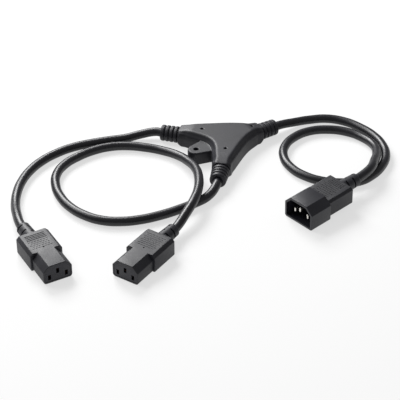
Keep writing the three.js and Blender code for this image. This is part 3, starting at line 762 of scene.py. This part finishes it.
def screw_ear():
    """The ear in the crotch between the outlet arms."""
    wall_x = EAR_PLACE - CROTCH_WEB + EAR_ROOT_DEPTH
    reach = math.hypot(wall_x, EAR_ROOT_HALF_WIDTH)
    tangent = math.atan2(EAR_ROOT_HALF_WIDTH, wall_x) + math.acos(EAR_RADIUS / reach)
    outline = [Vector((-EAR_PLACE + wall_x, EAR_ROOT_HALF_WIDTH))]
    for k in range(EAR_STEPS + 1):
        angle = tangent + (2 * math.pi - 2 * tangent) * k / EAR_STEPS
        x = -EAR_PLACE + EAR_RADIUS * math.cos(angle)
        outline.append(Vector((x, EAR_RADIUS * math.sin(angle))))
    outline.append(Vector((-EAR_PLACE + wall_x, -EAR_ROOT_HALF_WIDTH)))
    rings = []
    for distance, height in EAR_SIDE:
        rings.append([(p.x, p.y, height * MM) for p in inset(outline, distance * MM)])
    return loft("ear", rings)


def make_junction():
    """The whole junction moulding, as one even mesh."""
    body = junction_body()
    combine(body, [screw_ear(), *[boot(arm) for arm in ARMS]], "UNION")
    ear_top = EAR_HEIGHT + CUT_PAST
    holes = [upright_rod("ear_hole", -EAR_PLACE, 0, -CUT_PAST, ear_top, EAR_HOLE_RADIUS)]
    for arm, (angle, length, depth, hole_place) in ARMS.items():
        spot = arm_point(arm, hole_place, 0)
        bottom = BODY_HEIGHT - HOLE_DEPTH
        top = BODY_HEIGHT + CUT_PAST
        holes.append(upright_rod("hole_" + arm, spot.x, spot.y, bottom, top, HOLE_RADIUS))
        bore = rod("bore_" + arm, CORD_DIAMETER / 2 + BORE_CLEARANCE, -depth, CUT_PAST, BOOT_RADIUS)
        place(bore, Matrix.Rotation(angle, 4, "Z") @ Matrix.Translation((length, 0, 0)))
        holes.append(bore)
    combine(body, holes, "DIFFERENCE")
    soften(body, JUNCTION_VOXEL, JUNCTION_SOFTENING)
    slope_to_boots(body.data)
    round_arm_ends(body.data)
    place(body, Matrix.Translation((HUB.x, HUB.y, 0)))
    shade(body, JUNCTION_SHARP_DEGREES)
    body.name = "junction_moulding"
    dress(body, MOULDED, "junction_overmould")


make_junction()


# Connectors

def connector_place(spot, tilt=0.0):
    """Where a connector's front face stands in the shared frame."""
    x, y, heading = spot
    turn = Matrix.Rotation(heading, 4, "Z") @ Matrix.Rotation(tilt, 4, "Y")
    return Matrix.Translation((x, y, 0)) @ turn


def cut_outline(width, bottom, top, top_cut, top_round, bottom_round):
    """A connector's section, with cut upper corners, as a function of the distance in from it."""
    def section(distance):
        half = width / 2 - distance
        low = bottom + distance
        high = top - distance
        cut = top_cut - (2 - math.sqrt(2)) * distance
        corners = [(-half, low), (half, low), (half, high - cut), (half - cut, high),
                   (-half + cut, high), (-half, high - cut)]
        top_radius = max(top_round - distance, SMALLEST_ROUND)
        bottom_radius = max(bottom_round - distance, SMALLEST_ROUND)
        return rounded(corners, [bottom_radius] * 2 + [top_radius] * 4)
    return section


def relief(name, rear, height):
    """A tapered strain relief behind a moulding."""
    end = rear - RELIEF_LENGTH
    root = rear + RELIEF_ROOT_OVERLAP
    corners = [(end, 0.0), (end, RELIEF_END_RADIUS), (end + RELIEF_COLLAR, RELIEF_END_RADIUS),
               (rear, RELIEF_ROOT_RADIUS), (root, RELIEF_ROOT_RADIUS), (root, 0.0)]
    radii = [0.0, RELIEF_END_ROUND, 0.0, 0.0, 0.0, 0.0]
    profile = rounded(corners, radii, CORNER_STEPS + 1)[1:-1]
    return turned(name, [(p.x, p.y) for p in profile], RELIEF_SIDES, height)


def relief_slots(rear, height):
    """The strain relief's slots, from each side in turn."""
    slots = []
    tall = 2 * RELIEF_ROOT_RADIUS
    half = RELIEF_SLOT_WIDTH / 2
    for side in (1, -1):
        for i in range(RELIEF_SLOTS_PER_SIDE):
            stagger = 0.0 if side > 0 else RELIEF_SLOT_PITCH / 2
            x = rear - RELIEF_SLOT_START - stagger - i * RELIEF_SLOT_PITCH
            near, far = sorted((side * RELIEF_BRIDGE, side * tall))
            low = (x - half, near, height - tall)
            high = (x + half, far, height + tall)
            slots.append(block(f"slot_{side}_{i}", low, high))
    return slots


def cord_bore(rear, height):
    """The bore that the cord goes into."""
    start = rear - RELIEF_LENGTH - CUT_PAST
    return rod("bore", CORD_DIAMETER / 2 + BORE_CLEARANCE, start, rear + CONNECTOR_JACKET_DEPTH, height)


# Low pattern on the tops of the grips: dashes in staggered rows, and stripes across
DASH_LENGTH = 1.7 * MM
DASH_WIDTH = 0.7 * MM
DASH_PITCH = 2.5 * MM
ROW_PITCH = 2.2 * MM
PATTERN_RISE = 0.22 * MM
PATTERN_ROOT = 0.3 * MM
PATTERN_HALF_WIDTH = 8.6 * MM
STRIPE_WIDTH = 0.8 * MM
STRIPE_RISE = 0.3 * MM
OUTLET_STRIPE_START = 3.7 * MM
OUTLET_STRIPE_PITCH = 1.9 * MM
OUTLET_STRIPE_HALF_WIDTH = 8.0 * MM
OUTLET_DASH_GAP = 0.6 * MM
OUTLET_DASH_MARGIN = 1.8 * MM
PLUG_STRIPES = 4
PLUG_STRIPE_START = 2.5 * MM
PLUG_STRIPE_PITCH = 1.7 * MM
PLUG_STRIPE_HALF_WIDTH = 7.0 * MM
PLUG_DASH_ROWS = 7
PLUG_DASH_START = 10.0 * MM


def dash_rows(first, count, top, left_out=None):
    """Boxes for staggered rows of dashes, with one row left out round a dimple."""
    boxes = []
    for row in range(count):
        if row == left_out:
            continue
        x = first + row * ROW_PITCH
        stagger = DASH_PITCH / 2 if row % 2 else 0.0
        y = -PATTERN_HALF_WIDTH + stagger
        while y + DASH_LENGTH <= PATTERN_HALF_WIDTH:
            low = (x, y, top - PATTERN_ROOT)
            boxes.append((low, (x + DASH_WIDTH, y + DASH_LENGTH, top + PATTERN_RISE)))
            y += DASH_PITCH
    return boxes


def stripes_across(first, count, pitch, half_width, top):
    """Boxes for raised stripes across a moulding."""
    boxes = []
    for i in range(count):
        x = first + i * pitch
        low = (x, -half_width, top - PATTERN_ROOT)
        boxes.append((low, (x + STRIPE_WIDTH, half_width, top + STRIPE_RISE)))
    return boxes


TERMINALS = {
    "line": (-BLADE_SPACING / 2, 0.0),
    "earth": (0.0, EARTH_RISE),
    "neutral": (BLADE_SPACING / 2, 0.0),
}


def carrier_section(grow):
    """The carrier's section, made larger all round."""
    return cut_outline(
        NOSE_WIDTH - 2 * CARRIER_INSET + 2 * grow, CARRIER_INSET - grow, NOSE_HEIGHT - CARRIER_INSET + grow,
        NOSE_TOP_CUT - CARRIER_CUT_SHARE * CARRIER_INSET, CARRIER_TOP_ROUND, CARRIER_BOTTOM_ROUND)


def outlet_marks(rear, stripes):
    """The stripes and dashes on top of a grip."""
    start = rear + OUTLET_STRIPE_START
    marks = stripes_across(start, stripes, OUTLET_STRIPE_PITCH, OUTLET_STRIPE_HALF_WIDTH, NOSE_HEIGHT)
    first = start + stripes * OUTLET_STRIPE_PITCH + OUTLET_DASH_GAP
    rows = int((-NOSE_LENGTH - OUTLET_DASH_MARGIN - first) / ROW_PITCH)
    dimple_row = round((-DIMPLE_PLACE - first) / ROW_PITCH)
    return bars("marks", marks + dash_rows(first, rows, NOSE_HEIGHT, dimple_row))


def terminal_hollows():
    """A slot through the carrier's face, and the contact's room behind it, for each conductor."""
    slot_wide = BLADE_THICKNESS + SLOT_ALLOWANCE
    slot_tall = BLADE_HEIGHT + SLOT_ALLOWANCE
    room_wide = slot_wide + 2 * CONTACT_WALL + 2 * SEAT_GAP
    room_tall = slot_tall + 2 * CONTACT_WALL + 2 * SEAT_GAP
    rear = -CARRIER_LENGTH - CUT_PAST
    hollows = []
    for conductor, (y, rise) in TERMINALS.items():
        z = SLOT_HEIGHT_ABOVE_BASE + rise
        for kind, wide, tall, front in (
                ("slot_", slot_wide, slot_tall, CUT_PAST),
                ("room_", room_wide, room_tall, -CARRIER_FRONT_WALL)):
            low = (rear, y - wide / 2, z - tall / 2)
            high = (front, y + wide / 2, z + tall / 2)
            hollows.append(block(kind + conductor, low, high))
    return hollows


def make_outlet(prefix, spot, stripes):
    """An outlet's moulding and insert; gives all its pieces back."""
    placing = connector_place(spot)
    rear = -NOSE_LENGTH - GRIP_LENGTH
    cord_height = NOSE_HEIGHT / 2
    nose = prism(
        prefix + "_moulding",
        cut_outline(NOSE_WIDTH, 0, NOSE_HEIGHT, NOSE_TOP_CUT, NOSE_TOP_ROUND, NOSE_BOTTOM_ROUND),
        -NOSE_LENGTH - CUT_PAST, 0, 0, NOSE_END_ROUND)
    grip = prism(
        "grip",
        cut_outline(GRIP_WIDTH, 0, NOSE_HEIGHT, GRIP_TOP_CUT, GRIP_TOP_ROUND, GRIP_BOTTOM_ROUND),
        rear, -NOSE_LENGTH, GRIP_REAR_ROUND, GRIP_FRONT_ROUND)
    marks = outlet_marks(rear, stripes)
    combine(nose, [grip, relief("relief", rear, cord_height), marks], "UNION")

    pocket = prism(
        "pocket", carrier_section(CARRIER_CLEARANCE), -CARRIER_LENGTH - CARRIER_CLEARANCE, CUT_PAST)
    dimple = upright_rod(
        "dimple", -DIMPLE_PLACE, 0, NOSE_HEIGHT - DIMPLE_DEPTH, NOSE_HEIGHT + CUT_PAST, DIMPLE_RADIUS)
    hollows = [pocket, cord_bore(rear, cord_height), dimple, *relief_slots(rear, cord_height)]
    combine(nose, hollows, "DIFFERENCE")
    place(nose, placing)
    shade(nose)
    dress(nose, MOULDED, prefix + "_overmould")

    carrier = prism(
        prefix + "_insert", carrier_section(0), -CARRIER_LENGTH, -CARRIER_FACE_INSET, 0, CARRIER_FACE_INSET)
    combine(carrier, terminal_hollows(), "DIFFERENCE")
    place(carrier, placing)
    shade(carrier)
    dress(carrier, CARRIER, prefix + "_carrier")
    contacts = inner_nodes(prefix + "_contact", BRASS_LOOKS)
    return [nose, carrier, *contacts, *inner_nodes(prefix + "_core", CORE_LOOKS)]


def inner_nodes(prefix, looks):
    """Gives the CAD's own line, earth and neutral nodes their materials."""
    found = []
    for conductor in TERMINALS:
        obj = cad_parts[f"{prefix}_{conductor}"]
        obj.data.materials.clear()
        obj.data.materials.append(looks[conductor])
        found.append(obj)
    return found


def blade_section(y, z):
    """A blade's section, as a function of the distance in from it."""
    def section(distance):
        wide = BLADE_THICKNESS / 2 - distance
        tall = BLADE_HEIGHT / 2 - distance
        radius = max(BLADE_EDGE_ROUND - 0.5 * distance, SMALLEST_ROUND)
        corners = [(y - wide, z - tall), (y + wide, z - tall), (y + wide, z + tall), (y - wide, z + tall)]
        return rounded(corners, [radius] * 4)
    return section


def make_plug(prefix, spot):
    """The inlet plug's shell, body and blades; gives all its pieces back."""
    placing = connector_place(spot, PLUG_TILT)
    rear = -SHROUD_LENGTH - SEAT_GAP - PLUG_BODY_LENGTH
    seam = -SHROUD_LENGTH - HALF_SEAT_GAP
    cord_height = (PLUG_BODY_BOTTOM + PLUG_BODY_TOP) / 2
    blade_line = (SHROUD_HEIGHT - EARTH_RISE) / 2

    shroud = prism(
        prefix + "_shell",
        cut_outline(SHROUD_WIDTH, 0, SHROUD_HEIGHT, SHROUD_TOP_CUT, SHROUD_TOP_ROUND, SHROUD_BOTTOM_ROUND),
        seam, 0, SHROUD_REAR_ROUND, SHROUD_RIM_ROUND)
    cavity = prism(
        "cavity",
        cut_outline(SHROUD_WIDTH - 2 * SHROUD_WALL, SHROUD_WALL, SHROUD_HEIGHT - SHROUD_WALL,
                    SHROUD_TOP_CUT - CAVITY_CUT_SHARE * SHROUD_WALL, CAVITY_TOP_ROUND, CAVITY_BOTTOM_ROUND),
        -CAVITY_DEPTH, CUT_PAST, CAVITY_END_ROUND)
    combine(shroud, [cavity], "DIFFERENCE")
    place(shroud, placing)
    shade(shroud)
    dress(shroud, SMOOTH, prefix + "_shroud")

    body = prism(
        prefix + "_moulding",
        cut_outline(PLUG_BODY_WIDTH, PLUG_BODY_BOTTOM, PLUG_BODY_TOP, PLUG_BODY_TOP_CUT,
                    PLUG_BODY_TOP_ROUND, PLUG_BODY_BOTTOM_ROUND),
        rear, seam, PLUG_BODY_REAR_ROUND, PLUG_BODY_FRONT_ROUND)
    marks = stripes_across(
        rear + PLUG_STRIPE_START, PLUG_STRIPES, PLUG_STRIPE_PITCH, PLUG_STRIPE_HALF_WIDTH, PLUG_BODY_TOP)
    marks += dash_rows(rear + PLUG_DASH_START, PLUG_DASH_ROWS, PLUG_BODY_TOP)
    combine(body, [relief("relief", rear, cord_height), bars("marks", marks)], "UNION")
    combine(body, [cord_bore(rear, cord_height), *relief_slots(rear, cord_height)], "DIFFERENCE")
    place(body, placing)
    shade(body)
    dress(body, MOULDED, prefix + "_overmould")

    pieces = [shroud, body]
    for conductor, (y, rise) in TERMINALS.items():
        tip = -BLADE_RECESS + (EARTH_LEAD if conductor == "earth" else 0.0)
        blade = prism(
            f"{prefix}_pin_{conductor}", blade_section(y, blade_line + rise),
            -SHROUD_LENGTH - PLUG_CORE_LENGTH, tip, 0, BLADE_TIP_ROUND)
        place(blade, placing)
        shade(blade)
        dress(blade, NICKEL, f"{prefix}_blade_{conductor}")
        pieces.append(blade)
    return [*pieces, *inner_nodes(prefix + "_core", CORE_LOOKS)]


left_pieces = make_outlet("left_outlet", LEFT_OUTLET, stripes=4)
front_pieces = make_outlet("front_outlet", FRONT_OUTLET, stripes=0)
plug_pieces = make_plug("inlet_plug", INLET_PLUG)

for arm in ARMS:
    inner_nodes(arm + "_core", CORE_LOOKS)
inner_nodes("splice", BRASS_LOOKS)


# Stage and light

FLOOR_HALF = 3.0
FLOOR_TONE = 0.95
FLOOR_GLOW = 0.64
FLOOR_ROUGHNESS = 0.9
FLOOR_DROP = 0.05 * MM
WORLD_LIGHT = 0.25


def view_rays(nodes, links):
    """One where a camera, glossy or transmission ray looks."""
    path = nodes.new("ShaderNodeLightPath")
    first = nodes.new("ShaderNodeMath")
    first.operation = "MAXIMUM"
    links.new(path.outputs["Is Camera Ray"], first.inputs[0])
    links.new(path.outputs["Is Glossy Ray"], first.inputs[1])
    second = nodes.new("ShaderNodeMath")
    second.operation = "MAXIMUM"
    links.new(first.outputs[0], second.inputs[0])
    links.new(path.outputs["Is Transmission Ray"], second.inputs[1])
    return second.outputs[0]


def make_floor():
    """A white floor that keeps the object's shadow."""
    bm = bmesh.new()
    corners = [(-1, -1), (1, -1), (1, 1), (-1, 1)]
    bm.faces.new([bm.verts.new((x * FLOOR_HALF, y * FLOOR_HALF, -FLOOR_DROP)) for x, y in corners])
    mesh = bpy.data.meshes.new("floor")
    bm.to_mesh(mesh)
    bm.free()
    floor = new_object("floor", mesh)
    mat, nodes, links, shader = material("white_floor")
    shader.inputs["Base Color"].default_value = (FLOOR_TONE, FLOOR_TONE, FLOOR_TONE, 1)
    shader.inputs["Roughness"].default_value = FLOOR_ROUGHNESS
    glow = nodes.new("ShaderNodeEmission")
    glow.inputs["Strength"].default_value = 1.0
    share = nodes.new("ShaderNodeMath")
    share.operation = "MULTIPLY"
    share.inputs[1].default_value = FLOOR_GLOW
    links.new(view_rays(nodes, links), share.inputs[0])
    mix = nodes.new("ShaderNodeMixShader")
    links.new(share.outputs[0], mix.inputs["Fac"])
    links.new(shader.outputs["BSDF"], mix.inputs[1])
    links.new(glow.outputs["Emission"], mix.inputs[2])
    links.new(mix.outputs["Shader"], nodes["Material Output"].inputs["Surface"])
    floor.data.materials.append(mat)


def make_world():
    """Even light all round, with plain white behind."""
    world = bpy.data.worlds.new("studio")
    bpy.context.scene.world = world
    world.use_nodes = True
    nodes, links = world.node_tree.nodes, world.node_tree.links
    lit = nodes["Background"]
    lit.inputs["Color"].default_value = (1, 1, 1, 1)
    lit.inputs["Strength"].default_value = WORLD_LIGHT
    seen = nodes.new("ShaderNodeBackground")
    seen.inputs["Color"].default_value = (1, 1, 1, 1)
    seen.inputs["Strength"].default_value = 1.0
    mix = nodes.new("ShaderNodeMixShader")
    path = nodes.new("ShaderNodeLightPath")
    links.new(path.outputs["Is Camera Ray"], mix.inputs["Fac"])
    links.new(lit.outputs["Background"], mix.inputs[1])
    links.new(seen.outputs["Background"], mix.inputs[2])
    links.new(mix.outputs["Shader"], nodes["World Output"].inputs["Surface"])


def make_lamp(name, right, ahead, up, size, watts):
    """A square soft light placed from the view's target, to its right, ahead and above."""
    lamp = bpy.data.objects.new(name, bpy.data.lights.new(name, "AREA"))
    bpy.context.scene.collection.objects.link(lamp)
    forward = Vector((math.cos(VIEW_HEADING), math.sin(VIEW_HEADING), 0))
    side = Vector((forward.y, -forward.x, 0))
    lamp.location = VIEW_TARGET + side * right + forward * ahead + Vector((0, 0, up))
    lamp.rotation_euler = (VIEW_TARGET - lamp.location).to_track_quat("-Z", "Y").to_euler()
    lamp.data.size = size
    lamp.data.energy = watts


make_floor()
make_world()
make_lamp("key", right=-0.5, ahead=1.15, up=1.0, size=0.7, watts=27.0)
make_lamp("side", right=-1.0, ahead=0.5, up=1.2, size=0.6, watts=9.0)

bpy.context.scene.view_settings.view_transform = "Standard"
